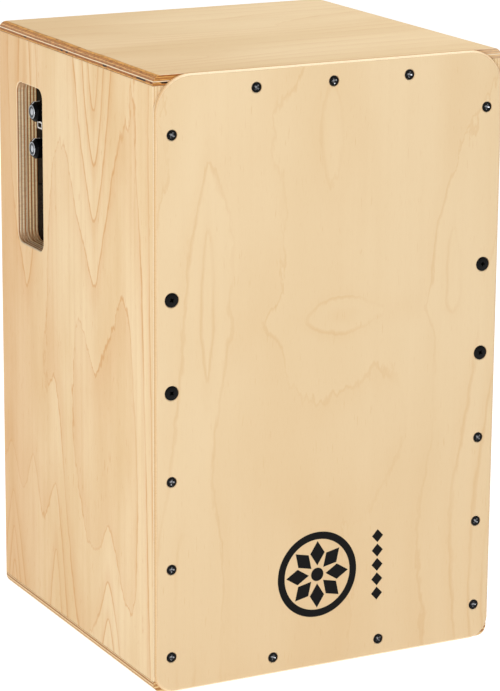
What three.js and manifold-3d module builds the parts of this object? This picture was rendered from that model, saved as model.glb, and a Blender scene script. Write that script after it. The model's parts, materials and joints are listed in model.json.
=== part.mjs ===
// A cajon, or box drum: a birch plywood box that its player sits on, with a thin screwed front plate,
// snare wires behind it, a sound hole in the rear, and a small preamp in a recess of the left side.
//
// Millimetres. +X is to the right of someone who faces the front plate, +Y runs from the front plate
// to the rear, and +Z is up. The origin is on the floor, under the middle of the box.

import * as THREE from "three";
import { mergeVertices } from "three/addons/utils/BufferGeometryUtils.js";
import Module from "manifold-3d";

const wasm = await Module();
wasm.setup();

// ---------------------------------------------------------------- driving dimensions

const WIDTH = 300;
const DEPTH = 295;
const BOX_HEIGHT = 482.5;
const FOOT_HEIGHT = 6;
const GLUE_LINE = 0.15; // between pieces that lie flat on each other
const CLEARANCE = 0.3; // round screws, shafts and everything that turns or slides

const TOP_THICK = 8;
const BOTTOM_THICK = 10;
const SIDE_THICK = 8.2;
const REAR_THICK = 5;
const PLATE_THICK = 3.3;
const TOP_EDGE_R = 7.6;
const BOTTOM_EDGE_R = 8.6;
const REAR_CORNER_R = 4; // of the box's two upright rear edges
const SOUND_HOLE_R = 57;
const SOUND_HOLE_UP = 200; // above the box's underside

const PLATE_TOP_CORNER_R = 30;
const PLATE_BOTTOM_CORNER_R = 17;
const PLATE_EDGE_R = 2.9;

const BATTEN_WIDE = 12;
const BATTEN_DEEP = 18;

const SCREW_INSET = 14.1; // of both side columns
const COLUMN_SCREWS = [
  { up: 437.4, large: false },
  { up: 312.2, large: true },
  { up: 240.1, large: true },
  { up: 170.1, large: false },
  { up: 100, large: false },
  { up: 28.9, large: false },
];
const TOP_ROW = { up: 467.8, across: [-65.8, 0, 65.8] };
const BOTTOM_ROW = { up: 14, across: [-47.4, 47.4] };
const SMALL_SCREW = { headR: 3.9, headHigh: 2.3, rim: 0.3, shankR: 1.7, length: 19, recessR: 1.7 };
const LARGE_SCREW = { headR: 5.5, headHigh: 1.7, rim: 1.2, shankR: 2.2, length: 19, recessR: 1.5 };
const SNARE_BAR_SCREW_LENGTH = 30;

const FOOT_R = 12;
const FOOT_INSET = 38;
const FOOT_SCREW = { headR: 4.4, headHigh: 2.2, rim: 1.4, shankR: 1.7, length: 12.4, recessR: 1.6 };

const OPENING = { y: 84.5, up: 372.5, wide: 51, high: 132, cornerR: 8.5 };
const RECESS_DEEP = 18;
const FRAME_BORDER = 16;
const PANEL_THICK = 2.5;
const PANEL_BORDER = 12;
const PANEL_SCREW = { headR: 2.9, headHigh: 1.8, rim: 1.2, shankR: 1.2, length: 11, recessR: 1.2 };

const KNOB_UPS = { volume: 417, tone: 387 };
const KNOB_R = 8.2;
const KNOB_FACE_DEEP = 2.4; // the knob's face lies this far inside the side panel's surface
const KNOB_CHAMFER = 2;
const CAP_R = 5.5;
const CAP_THICK = 0.8;
const SHAFT_R = 3;
const BUSH_R = 4.2;
const POT_R = 8.5;
const POT_LONG = 9;

const BATTERY = { thick: 17.5, wide: 26.5, long: 46, stud: 2.4 };
const DRAWER = { y: 93, up: 337, wall: 1.5, face: 2, faceWide: 24, faceHigh: 33 };
const BOARD = { y: 84.5, up: 404, wide: 44, high: 52, thick: 1.6 };
const JACK = { y: 70, up: 337, boreR: 3.25, boreLong: 31, bushR: 4.7, bodyWide: 14, bodyLong: 27 };
const JACK_NUT = { acrossCorners: 14, thick: 2.4 };

const SNARE_BAR = { up: 312.2, high: 20, deep: 14 };
const SNARES = { x: 64, strands: 10, pitch: 4, long: 126, wireR: 1.1, lift: 15 };
const SNARE_CLIP = { wide: 44, high: 14, thick: 1.6 };

const PICKUP = { x: -34, up: 214, r: 13.5, thick: 1.2 };
const LEAD_R = 1.3;

// ---------------------------------------------------------------- worked out from them

const BOX_BOTTOM = FOOT_HEIGHT;
const BOX_TOP = FOOT_HEIGHT + BOX_HEIGHT;
const LEFT = -WIDTH / 2;
const RIGHT = WIDTH / 2;
const FRONT = -DEPTH / 2;
const REAR = DEPTH / 2;
const PLATE_BACK = FRONT + PLATE_THICK;
const PANELS_FRONT = PLATE_BACK + GLUE_LINE;
const INNER_BOTTOM = BOX_BOTTOM + BOTTOM_THICK + GLUE_LINE;
const INNER_TOP = BOX_TOP - TOP_THICK - GLUE_LINE;
const INNER_SIDE = WIDTH / 2 - SIDE_THICK - GLUE_LINE;
const BATTEN_BACK = PANELS_FRONT + BATTEN_DEEP;
const PANEL_FACE = LEFT + RECESS_DEEP;
const PANEL_BACK = PANEL_FACE + PANEL_THICK;
const BEHIND_PANEL = PANEL_BACK + CLEARANCE;
const OPENING_Z = BOX_BOTTOM + OPENING.up;
const SNARE_BAR_FRONT = BATTEN_BACK + GLUE_LINE;

// ---------------------------------------------------------------- materials

function material(color, roughness, metalness = 0) {
  return new THREE.MeshStandardMaterial({ color, roughness, metalness });
}

const birchPanel = material(0xe9cf9f, 0.5);
const birchPlate = material(0xebd3a7, 0.48);
const battenWood = material(0xd9b988, 0.7);
const blackScrew = material(0x17171a, 0.42, 0.6);
const blackRubber = material(0x1b1b1b, 0.85);
const blackPanel = material(0x141414, 0.35);
const blackKnob = material(0x101011, 0.45);
const spunAluminium = material(0xc9ccd0, 0.3, 1);
const platedSteel = material(0xb4b6b8, 0.35, 1);
const nickel = material(0xc7c3b8, 0.28, 1);
const greenBoard = material(0x1f5a36, 0.5);
const batteryJacket = material(0x2f3338, 0.4, 0.3);
const snareSteel = material(0xa9abad, 0.3, 1);
const pickupBrass = material(0xc49a4a, 0.35, 1);
const leadJacket = material(0x202022, 0.6);

// ---------------------------------------------------------------- shapes

function solidOf(geometry) {
  const bare = geometry.index ? geometry.toNonIndexed() : geometry.clone();
  bare.deleteAttribute("normal");
  bare.deleteAttribute("uv");
  const merged = mergeVertices(bare, 1e-4);
  const vertProperties = merged.attributes.position.array;
  const triVerts = new Uint32Array(merged.index.array);
  return new wasm.Manifold(new wasm.Mesh({ numProp: 3, vertProperties, triVerts }));
}

function geometryOf(solid) {
  const made = solid.getMesh();
  const geometry = new THREE.BufferGeometry();
  geometry.setAttribute("position", new THREE.BufferAttribute(made.vertProperties, made.numProp));
  geometry.setIndex(new THREE.BufferAttribute(made.triVerts, 1));
  geometry.computeVertexNormals();
  return geometry;
}

function cut(geometry, tools) {
  let solid = solidOf(geometry);
  for (const tool of tools) solid = solid.subtract(solidOf(tool));
  return geometryOf(solid);
}

function join(pieces) {
  let solid = solidOf(pieces[0]);
  for (const piece of pieces.slice(1)) solid = solid.add(solidOf(piece));
  return geometryOf(solid);
}

function common(first, second) {
  return geometryOf(solidOf(first).intersect(solidOf(second)));
}

// A box from its lowest and highest corners.
function boxBetween([x0, y0, z0], [x1, y1, z1]) {
  const box = new THREE.BoxGeometry(x1 - x0, y1 - y0, z1 - z0);
  return box.translate((x0 + x1) / 2, (y0 + y1) / 2, (z0 + z1) / 2);
}

// An outline round a rectangle whose four corners each have a radius, 0 for a sharp one.
function outline([a0, b0], [a1, b1], { lowLeft = 0, lowRight = 0, highRight = 0, highLeft = 0 }) {
  const shape = new THREE.Shape();
  shape.moveTo(a0 + lowLeft, b0);
  shape.lineTo(a1 - lowRight, b0);
  if (lowRight) shape.absarc(a1 - lowRight, b0 + lowRight, lowRight, -Math.PI / 2, 0);
  shape.lineTo(a1, b1 - highRight);
  if (highRight) shape.absarc(a1 - highRight, b1 - highRight, highRight, 0, Math.PI / 2);
  shape.lineTo(a0 + highLeft, b1);
  if (highLeft) shape.absarc(a0 + highLeft, b1 - highLeft, highLeft, Math.PI / 2, Math.PI);
  shape.lineTo(a0, b0 + lowLeft);
  if (lowLeft) shape.absarc(a0 + lowLeft, b0 + lowLeft, lowLeft, Math.PI, 1.5 * Math.PI);
  return shape;
}

function evenOutline(centreA, centreB, wide, high, r) {
  const corners = { lowLeft: r, lowRight: r, highRight: r, highLeft: r };
  const lowCorner = [centreA - wide / 2, centreB - high / 2];
  const highCorner = [centreA + wide / 2, centreB + high / 2];
  return outline(lowCorner, highCorner, corners);
}

// Extrusions of an outline in the other two axes, taken in the order X, Y, Z.
function alongX(shape, x0, x1, curveSegments = 3) {
  const solid = new THREE.ExtrudeGeometry(shape, { depth: x1 - x0, bevelEnabled: false, curveSegments });
  const turn = new THREE.Matrix4().makeBasis(
    new THREE.Vector3(0, 1, 0),
    new THREE.Vector3(0, 0, 1),
    new THREE.Vector3(1, 0, 0),
  );
  return solid.applyMatrix4(turn).translate(x0, 0, 0);
}

function alongY(shape, y0, y1, curveSegments = 3) {
  const solid = new THREE.ExtrudeGeometry(shape, { depth: y1 - y0, bevelEnabled: false, curveSegments });
  return solid.rotateX(Math.PI / 2).translate(0, y1, 0);
}

function alongZ(shape, z0, z1, curveSegments = 3) {
  const solid = new THREE.ExtrudeGeometry(shape, { depth: z1 - z0, bevelEnabled: false, curveSegments });
  return solid.translate(0, 0, z0);
}

// A turned piece about +Y from [radius, distance] points in order of rising distance outside.
function turned(points, segments) {
  return new THREE.LatheGeometry(
    points.map(([r, y]) => new THREE.Vector2(r, y)),
    segments,
  );
}

function turnToX(geometry) {
  return geometry.rotateZ(-Math.PI / 2);
}

function turnToZ(geometry) {
  return geometry.rotateX(Math.PI / 2);
}

function rodAlongY(r, y0, y1, segments) {
  return new THREE.CylinderGeometry(r, r, y1 - y0, segments).translate(0, (y0 + y1) / 2, 0);
}

// ---------------------------------------------------------------- screws

const SCREW_SEGMENTS = 10;
const HOLE_SEGMENTS = 10;
const POINT_LONG = 2.5;
const RECESS_DEPTH = 1.2;

// A screw about +Y with the face of its head at 0 and its point at its length.
function screw({ headR, headHigh, rim, shankR, length, recessR }) {
  return turned(
    [
      [0, RECESS_DEPTH],
      [recessR, 0],
      [headR, 0],
      [headR, rim],
      [shankR, headHigh],
      [shankR, length - POINT_LONG],
      [0, length],
    ],
    SCREW_SEGMENTS,
  );
}

// The room that a screw takes up, from just outside its head to past its point.
function screwHole({ headR, headHigh, rim, shankR, length }) {
  const outside = -1;
  return turned(
    [
      [0, outside],
      [headR + CLEARANCE, outside],
      [headR + CLEARANCE, rim + CLEARANCE],
      [shankR + CLEARANCE, headHigh + CLEARANCE],
      [shankR + CLEARANCE, length + CLEARANCE],
      [0, length + CLEARANCE],
    ],
    HOLE_SEGMENTS,
  );
}

const HEAD_SUNK = 0.2; // the heads lie just below the front plate's face

function frontScrewPlaces() {
  const places = [];
  for (const { up, large } of COLUMN_SCREWS) {
    for (const side of [-1, 1]) {
      const inBar = large && up === SNARE_BAR.up;
      const length = inBar ? SNARE_BAR_SCREW_LENGTH : SMALL_SCREW.length;
      const kind = large ? { ...LARGE_SCREW, length } : SMALL_SCREW;
      places.push({ x: side * (WIDTH / 2 - SCREW_INSET), z: BOX_BOTTOM + up, kind });
    }
  }
  for (const row of [TOP_ROW, BOTTOM_ROW]) {
    for (const x of row.across) places.push({ x, z: BOX_BOTTOM + row.up, kind: SMALL_SCREW });
  }
  return places;
}

const FRONT_SCREWS = frontScrewPlaces();

function frontScrewHoles() {
  return FRONT_SCREWS.map(({ x, z, kind }) => screwHole(kind).translate(x, FRONT + HEAD_SUNK, z));
}

// ---------------------------------------------------------------- the box

// The top and the bottom panel seen from above, with their rear corners rounded as the sides are.
function boardAcross(z0, z1) {
  const corners = { highLeft: REAR_CORNER_R, highRight: REAR_CORNER_R };
  return alongZ(outline([LEFT, PANELS_FRONT], [RIGHT, REAR], corners), z0, z1);
}

function topPanel() {
  const acrossR = { highLeft: TOP_EDGE_R, highRight: TOP_EDGE_R };
  const across = outline([LEFT, BOX_TOP - TOP_THICK], [RIGHT, BOX_TOP], acrossR);
  const deepR = { highRight: TOP_EDGE_R };
  const deep = outline([PANELS_FRONT, BOX_TOP - TOP_THICK], [REAR, BOX_TOP], deepR);
  const board = common(alongY(across, PANELS_FRONT, REAR), alongX(deep, LEFT, RIGHT));
  return common(board, boardAcross(BOX_TOP - TOP_THICK, BOX_TOP));
}

function bottomPanel() {
  const top = BOX_BOTTOM + BOTTOM_THICK;
  const acrossR = { lowLeft: BOTTOM_EDGE_R, lowRight: BOTTOM_EDGE_R };
  const across = outline([LEFT, BOX_BOTTOM], [RIGHT, top], acrossR);
  const deepR = { lowRight: BOTTOM_EDGE_R };
  const deep = outline([PANELS_FRONT, BOX_BOTTOM], [REAR, top], deepR);
  const board = common(alongY(across, PANELS_FRONT, REAR), alongX(deep, LEFT, RIGHT));
  return cut(common(board, boardAcross(BOX_BOTTOM, top)), footScrewHoles());
}

// side is -1 for the left panel and 1 for the right one.
function sidePanel(side) {
  const inner = side * (WIDTH / 2 - SIDE_THICK);
  const outer = side * (WIDTH / 2);
  const low = [Math.min(inner, outer), PANELS_FRONT];
  const high = [Math.max(inner, outer), REAR];
  const corner = side < 0 ? "highLeft" : "highRight";
  return alongZ(outline(low, high, { [corner]: REAR_CORNER_R }), INNER_BOTTOM, INNER_TOP);
}

function openingOutline() {
  return evenOutline(OPENING.y, OPENING_Z, OPENING.wide, OPENING.high, OPENING.cornerR);
}

function leftSidePanel() {
  const past = 1;
  return cut(sidePanel(-1), [alongX(openingOutline(), LEFT - past, LEFT + SIDE_THICK + past)]);
}

const SOUND_HOLE_SEGMENTS = 48;

function rearPanel() {
  const board = boxBetween(
    [-INNER_SIDE, REAR - REAR_THICK, INNER_BOTTOM],
    [INNER_SIDE, REAR, INNER_TOP],
  );
  const hole = rodAlongY(SOUND_HOLE_R, REAR - 2 * REAR_THICK, REAR + REAR_THICK, SOUND_HOLE_SEGMENTS);
  return cut(board, [hole.translate(0, 0, BOX_BOTTOM + SOUND_HOLE_UP)]);
}

function frontPlate() {
  const low = [LEFT + PLATE_EDGE_R, BOX_BOTTOM + PLATE_EDGE_R];
  const high = [RIGHT - PLATE_EDGE_R, BOX_TOP - PLATE_EDGE_R];
  const lowR = PLATE_BOTTOM_CORNER_R - PLATE_EDGE_R;
  const highR = PLATE_TOP_CORNER_R - PLATE_EDGE_R;
  const face = outline(low, high, {
    lowLeft: lowR,
    lowRight: lowR,
    highRight: highR,
    highLeft: highR,
  });
  const blank = new THREE.ExtrudeGeometry(face, {
    depth: 2 * (PLATE_THICK - PLATE_EDGE_R),
    bevelThickness: PLATE_EDGE_R,
    bevelSize: PLATE_EDGE_R,
    bevelSegments: 2,
    curveSegments: 4,
  });
  blank.rotateX(Math.PI / 2).translate(0, FRONT + 2 * PLATE_THICK - PLATE_EDGE_R, 0);
  const frontHalf = boxBetween([LEFT - 1, FRONT - 1, 0], [RIGHT + 1, PLATE_BACK, BOX_TOP + 1]);
  return cut(common(blank, frontHalf), frontScrewHoles());
}

function sideBatten(side) {
  const outer = side * INNER_SIDE;
  const inner = side * (INNER_SIDE - BATTEN_WIDE);
  const low = [Math.min(inner, outer), PANELS_FRONT, INNER_BOTTOM];
  const high = [Math.max(inner, outer), BATTEN_BACK, INNER_TOP];
  return cut(boxBetween(low, high), frontScrewHoles());
}

function crossBatten(z0, z1) {
  const end = INNER_SIDE - BATTEN_WIDE - GLUE_LINE;
  const bar = boxBetween([-end, PANELS_FRONT, z0], [end, BATTEN_BACK, z1]);
  return cut(bar, frontScrewHoles());
}

// ---------------------------------------------------------------- feet

function footPlaces() {
  const places = [];
  for (const x of [LEFT + FOOT_INSET, RIGHT - FOOT_INSET]) {
    for (const y of [FRONT + FOOT_INSET, REAR - FOOT_INSET]) places.push({ x, y });
  }
  return places;
}

const FOOT_PLACES = footPlaces();
const FOOT_HEAD_UP = 0.9; // the screw's head stays this far above the floor
const FOOT_SEGMENTS = 20;

function footScrewHoles() {
  return FOOT_PLACES.map(({ x, y }) =>
    turnToZ(screwHole({ ...FOOT_SCREW, headR: FOOT_SCREW.shankR })).translate(x, y, FOOT_HEAD_UP),
  );
}

function foot() {
  const holeR = FOOT_SCREW.shankR + CLEARANCE;
  const pocketR = FOOT_SCREW.headR + CLEARANCE;
  const pocketTop = FOOT_HEAD_UP + FOOT_SCREW.headHigh + CLEARANCE;
  const top = FOOT_HEIGHT - GLUE_LINE;
  const chamfer = 1.2;
  const ring = [
    [pocketR, 0],
    [FOOT_R - chamfer, 0],
    [FOOT_R, chamfer],
    [FOOT_R, top],
    [holeR, top],
    [holeR, pocketTop],
    [pocketR, pocketTop],
    [pocketR, 0],
  ];
  return turnToZ(turned(ring, FOOT_SEGMENTS));
}

// ---------------------------------------------------------------- the recess and the preamp

function recessFrame() {
  const wide = OPENING.wide + 2 * FRAME_BORDER;
  const high = OPENING.high + 2 * FRAME_BORDER;
  const ring = evenOutline(OPENING.y, OPENING_Z, wide, high, FRAME_BORDER / 2);
  ring.holes.push(openingOutline());
  const block = alongX(ring, -INNER_SIDE, PANEL_FACE - GLUE_LINE);
  return cut(block, panelScrewHoles());
}

function panelScrewPlaces() {
  const places = [];
  for (const sideY of [-1, 1]) {
    for (const sideZ of [-1, 1]) {
      const y = OPENING.y + (sideY * (OPENING.wide + PANEL_BORDER)) / 2;
      const z = OPENING_Z + (sideZ * (OPENING.high + PANEL_BORDER)) / 2;
      places.push({ y, z });
    }
  }
  return places;
}

const PANEL_SCREW_PLACES = panelScrewPlaces();
const PANEL_SCREW_FACE = BEHIND_PANEL + PANEL_SCREW.headHigh;

// The panel screws are driven outwards, from inside the box.
function outwardScrew(geometry, { y, z }) {
  return geometry.rotateZ(Math.PI / 2).translate(PANEL_SCREW_FACE, y, z);
}

function panelScrewHoles() {
  return PANEL_SCREW_PLACES.map((place) =>
    outwardScrew(screwHole({ ...PANEL_SCREW, headR: PANEL_SCREW.shankR }), place),
  );
}

const TRAY_WIDE = BATTERY.thick + 2 * CLEARANCE + 2 * DRAWER.wall;
const TRAY_HIGH = BATTERY.wide + 2 * CLEARANCE + 2 * DRAWER.wall;
const TRAY_LONG = BATTERY.long + BATTERY.stud + 2 * CLEARANCE + DRAWER.wall;
const DRAWER_Z = BOX_BOTTOM + DRAWER.up;

// A box along X, centred on the drawer in the other two axes.
function drawerBox(x0, x1, wide, high) {
  return boxBetween(
    [x0, DRAWER.y - wide / 2, DRAWER_Z - high / 2],
    [x1, DRAWER.y + wide / 2, DRAWER_Z + high / 2],
  );
}

function roundHoleThroughPanel(r, y, z) {
  const past = 1;
  const rod = turnToX(rodAlongY(r, 0, PANEL_THICK + 2 * past, 20));
  return rod.translate(PANEL_FACE - past, y, z);
}

function preampPanel() {
  const wide = OPENING.wide + 2 * PANEL_BORDER;
  const high = OPENING.high + 2 * PANEL_BORDER;
  const plate = alongX(
    evenOutline(OPENING.y, OPENING_Z, wide, high, PANEL_BORDER / 2),
    PANEL_FACE,
    PANEL_BACK,
  );
  const innerWide = TRAY_WIDE + 2 * CLEARANCE;
  const innerHigh = TRAY_HIGH + 2 * CLEARANCE;
  const sleeveEnd = PANEL_FACE + TRAY_LONG;
  const sleeve = drawerBox(
    PANEL_BACK - 1,
    sleeveEnd,
    innerWide + 2 * DRAWER.wall,
    innerHigh + 2 * DRAWER.wall,
  );
  const bay = drawerBox(PANEL_FACE - 1, sleeveEnd + 1, innerWide, innerHigh);
  const holes = Object.values(KNOB_UPS).map((up) =>
    roundHoleThroughPanel(BUSH_R + CLEARANCE, OPENING.y, BOX_BOTTOM + up),
  );
  holes.push(roundHoleThroughPanel(JACK.bushR + CLEARANCE, JACK.y, BOX_BOTTOM + JACK.up));
  return cut(join([plate, sleeve]), [bay, ...holes, ...panelScrewHoles()]);
}

const KNOB_FACE = LEFT + KNOB_FACE_DEEP;
const KNOB_BACK = PANEL_FACE - 0.9;
const KNOB_LONG = KNOB_BACK - KNOB_FACE;
const KNOB_BORE_END = KNOB_FACE + 3;
const BUSH_END = PANEL_FACE - 0.6;
const POT_BORE_END = PANEL_BACK + 3;
const TURNED_SEGMENTS = 20;
const KNOB_SEGMENTS = 24;

// These four are turned about X through the knob's axis, with distances that are X itself.
function potBody() {
  const boreR = SHAFT_R + CLEARANCE;
  return turnToX(
    turned(
      [
        [0, POT_BORE_END],
        [boreR, POT_BORE_END],
        [boreR, BUSH_END],
        [BUSH_R, BUSH_END],
        [BUSH_R, BEHIND_PANEL],
        [POT_R, BEHIND_PANEL],
        [POT_R, BEHIND_PANEL + POT_LONG],
        [0, BEHIND_PANEL + POT_LONG],
      ],
      TURNED_SEGMENTS,
    ),
  );
}

function potShaft() {
  const start = KNOB_BORE_END + CLEARANCE;
  const end = POT_BORE_END - CLEARANCE;
  return turnToX(rodAlongY(SHAFT_R, start, end, 16));
}

function knob() {
  const boreR = SHAFT_R + CLEARANCE;
  const pocketR = CAP_R + GLUE_LINE;
  const pocketFloor = KNOB_FACE + CAP_THICK;
  return turnToX(
    turned(
      [
        [0, pocketFloor],
        [pocketR, pocketFloor],
        [pocketR, KNOB_FACE],
        [KNOB_R - KNOB_CHAMFER, KNOB_FACE],
        [KNOB_R, KNOB_FACE + KNOB_CHAMFER],
        [KNOB_R, KNOB_BACK],
        [boreR, KNOB_BACK],
        [boreR, KNOB_BORE_END],
        [0, KNOB_BORE_END],
      ],
      KNOB_SEGMENTS,
    ),
  );
}

function knobCap() {
  const proud = 0.3;
  const back = KNOB_FACE + CAP_THICK - GLUE_LINE;
  return turnToX(
    turned(
      [
        [0, KNOB_FACE - proud],
        [CAP_R - 0.5, KNOB_FACE - proud],
        [CAP_R, KNOB_FACE],
        [CAP_R, back],
        [0, back],
      ],
      KNOB_SEGMENTS,
    ),
  );
}

function circuitBoard() {
  const front = BEHIND_PANEL + POT_LONG + GLUE_LINE;
  const back = front + BOARD.thick;
  const z = BOX_BOTTOM + BOARD.up;
  const board = boxBetween(
    [front, BOARD.y - BOARD.wide / 2, z - BOARD.high / 2],
    [back, BOARD.y + BOARD.wide / 2, z + BOARD.high / 2],
  );
  const chip = boxBetween([back - 0.5, BOARD.y - 5, z - 12], [back + 3, BOARD.y + 5, z]);
  const socket = boxBetween([back - 0.5, BOARD.y - 20, z + 10], [back + 6, BOARD.y - 12, z + 20]);
  const capacitor = turnToX(rodAlongY(4, 0, 11, 16)).translate(back - 0.5, BOARD.y + 13, z - 14);
  return join([board, chip, socket, capacitor]);
}

function outputJack() {
  const bodyEnd = BEHIND_PANEL + JACK.bodyLong;
  const bushEnd = PANEL_FACE - CLEARANCE - JACK_NUT.thick - 1;
  const body = boxBetween(
    [BEHIND_PANEL, -JACK.bodyWide / 2, -JACK.bodyWide / 2],
    [bodyEnd, JACK.bodyWide / 2, JACK.bodyWide / 2],
  );
  const bush = turnToX(rodAlongY(JACK.bushR, bushEnd, BEHIND_PANEL + 1, TURNED_SEGMENTS));
  const bore = turnToX(rodAlongY(JACK.boreR, bushEnd - 1, bushEnd + JACK.boreLong, 16));
  return cut(join([body, bush]), [bore]).translate(0, JACK.y, BOX_BOTTOM + JACK.up);
}

function jackNut() {
  const back = PANEL_FACE - CLEARANCE;
  const front = back - JACK_NUT.thick;
  const hexagon = turnToX(rodAlongY(JACK_NUT.acrossCorners / 2, front, back, 6));
  const hole = turnToX(rodAlongY(JACK.bushR + CLEARANCE, front - 1, back + 1, TURNED_SEGMENTS));
  return cut(hexagon, [hole]).translate(0, JACK.y, BOX_BOTTOM + JACK.up);
}

const FACE_BACK = PANEL_FACE - CLEARANCE;
const POCKET_END = FACE_BACK + BATTERY.long + BATTERY.stud + 2 * CLEARANCE;

function batteryDrawer() {
  const face = drawerBox(FACE_BACK - DRAWER.face, FACE_BACK, DRAWER.faceWide, DRAWER.faceHigh);
  const lip = drawerBox(FACE_BACK - DRAWER.face - 1.6, FACE_BACK - 1, 3, DRAWER.faceHigh - 10);
  lip.translate(0, -DRAWER.faceWide / 2 + 3, 0);
  const tray = drawerBox(FACE_BACK - 1, POCKET_END + DRAWER.wall, TRAY_WIDE, TRAY_HIGH);
  const pocketWide = TRAY_WIDE - DRAWER.wall;
  const pocket = drawerBox(FACE_BACK, POCKET_END, pocketWide, TRAY_HIGH - 2 * DRAWER.wall);
  pocket.translate(0, -DRAWER.wall / 2 - CLEARANCE, 0);
  const window = drawerBox(POCKET_END - 1, POCKET_END + 2 * DRAWER.wall, 12, 22);
  return cut(join([face, lip, tray]), [pocket, window]);
}

function battery() {
  const start = FACE_BACK + CLEARANCE;
  const end = start + BATTERY.long;
  const r = 1.5;
  const jacket = alongX(evenOutline(DRAWER.y, DRAWER_Z, BATTERY.thick, BATTERY.wide, r), start, end, 3);
  const studs = [-1, 1].map((side) =>
    turnToX(rodAlongY(3, end - 1, end + BATTERY.stud, 12)).translate(
      0,
      DRAWER.y,
      DRAWER_Z + (side * 12.7) / 2,
    ),
  );
  return join([jacket, ...studs]);
}

// ---------------------------------------------------------------- snares and pickup

function snareBar() {
  const z = BOX_BOTTOM + SNARE_BAR.up;
  const bar = boxBetween(
    [-INNER_SIDE, SNARE_BAR_FRONT, z - SNARE_BAR.high / 2],
    [INNER_SIDE, SNARE_BAR_FRONT + SNARE_BAR.deep, z + SNARE_BAR.high / 2],
  );
  return cut(bar, frontScrewHoles());
}

// A flat clip on the bar, with a fan of wires that rises from it and leans on the front plate.
function snareWires(side) {
  const clipBack = SNARE_BAR_FRONT - GLUE_LINE;
  const clipZ = BOX_BOTTOM + SNARE_BAR.up;
  const pieces = [
    boxBetween(
      [-SNARE_CLIP.wide / 2, clipBack - SNARE_CLIP.thick, clipZ - SNARE_CLIP.high / 2],
      [SNARE_CLIP.wide / 2, clipBack, clipZ + SNARE_CLIP.high / 2],
    ),
  ];
  const lean = Math.asin(SNARES.lift / SNARES.long);
  for (let i = 0; i < SNARES.strands; i += 1) {
    const strand = turnToZ(rodAlongY(SNARES.wireR, 0, SNARES.long, 6)).rotateX(lean);
    const x = (i - (SNARES.strands - 1) / 2) * SNARES.pitch;
    pieces.push(strand.translate(x, clipBack - SNARE_CLIP.thick, clipZ));
  }
  return join(pieces).translate(side * SNARES.x, 0, 0);
}

function pickupDisc() {
  const start = PLATE_BACK + CLEARANCE;
  return rodAlongY(PICKUP.r, start, start + PICKUP.thick, 24).translate(
    PICKUP.x,
    0,
    BOX_BOTTOM + PICKUP.up,
  );
}

// The lead leaves the disc, rounds the left batten, follows the left wall and ends at the board.
function leadRoute() {
  const discBack = PLATE_BACK + CLEARANCE + PICKUP.thick;
  const boardEdge = BOARD.y - BOARD.wide / 2;
  const points = [
    [PICKUP.x - 6, discBack + LEAD_R + CLEARANCE, 214],
    [-60, discBack + 2, 216],
    [-100, discBack + 3, 222],
    [-118, -134, 226],
    [-124, -119, 230],
    [-134, -110, 235],
    [-139, -90, 242],
    [-139, -40, 262],
    [-139, 0, 296],
    [-137, 20, 340],
    [-127, 34, 372],
    [-119, 44, 392],
    [-117.6, boardEdge - 6, 400],
    [-117.6, boardEdge - CLEARANCE, 402],
  ];
  return new THREE.CatmullRomCurve3(
    points.map(([x, y, up]) => new THREE.Vector3(x, y, BOX_BOTTOM + up)),
  );
}

function pickupLead() {
  const section = new THREE.Shape();
  section.absarc(0, 0, LEAD_R, 0, 2 * Math.PI);
  return new THREE.ExtrudeGeometry(section, {
    steps: 46,
    curveSegments: 4,
    extrudePath: leadRoute(),
  });
}

// ---------------------------------------------------------------- assembly

const group = new THREE.Group();

function add(name, geometry, look, [x, y, z] = [0, 0, 0]) {
  const mesh = new THREE.Mesh(geometry, look);
  mesh.name = name;
  mesh.position.set(x, y, z);
  group.add(mesh);
}

add("top_panel", topPanel(), birchPanel);
add("bottom_panel", bottomPanel(), birchPanel);
add("left_side_panel", leftSidePanel(), birchPanel);
add("right_side_panel", sidePanel(1), birchPanel);
add("rear_panel", rearPanel(), birchPanel);
add("front_plate", frontPlate(), birchPlate);
add("front_batten_left", sideBatten(-1), battenWood);
add("front_batten_right", sideBatten(1), battenWood);
add("front_batten_top", crossBatten(INNER_TOP - BATTEN_WIDE, INNER_TOP), battenWood);
add("front_batten_bottom", crossBatten(INNER_BOTTOM, INNER_BOTTOM + BATTEN_WIDE), battenWood);

FRONT_SCREWS.forEach(({ x, z, kind }, i) => {
  const number = String(i + 1).padStart(2, "0");
  add(`front_screw_${number}`, screw(kind), blackScrew, [x, FRONT + HEAD_SUNK, z]);
});

FOOT_PLACES.forEach(({ x, y }, i) => {
  add(`foot_${i + 1}`, foot(), blackRubber, [x, y, 0]);
  add(`foot_screw_${i + 1}`, turnToZ(screw(FOOT_SCREW)), platedSteel, [x, y, FOOT_HEAD_UP]);
});

add("recess_frame", recessFrame(), birchPanel);
add("preamp_panel", preampPanel(), blackPanel);
PANEL_SCREW_PLACES.forEach((place, i) => {
  add(`panel_screw_${i + 1}`, outwardScrew(screw(PANEL_SCREW), place), platedSteel);
});

for (const [control, up] of Object.entries(KNOB_UPS)) {
  const place = [0, OPENING.y, BOX_BOTTOM + up];
  add(`${control}_pot`, potBody(), platedSteel, place);
  add(`${control}_shaft`, potShaft(), nickel, place);
  add(`${control}_knob`, knob(), blackKnob, place);
  add(`${control}_knob_cap`, knobCap(), spunAluminium, place);
}

add("circuit_board", circuitBoard(), greenBoard);
add("output_jack", outputJack(), blackPanel);
add("jack_nut", jackNut(), nickel);
add("battery_drawer", batteryDrawer(), blackPanel);
add("battery", battery(), batteryJacket);

add("snare_bar", snareBar(), battenWood);
add("snare_wires_left", snareWires(-1), snareSteel);
add("snare_wires_right", snareWires(1), snareSteel);
add("pickup_disc", pickupDisc(), pickupBrass);
add("pickup_lead", pickupLead(), leadJacket);

export default group;
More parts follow.
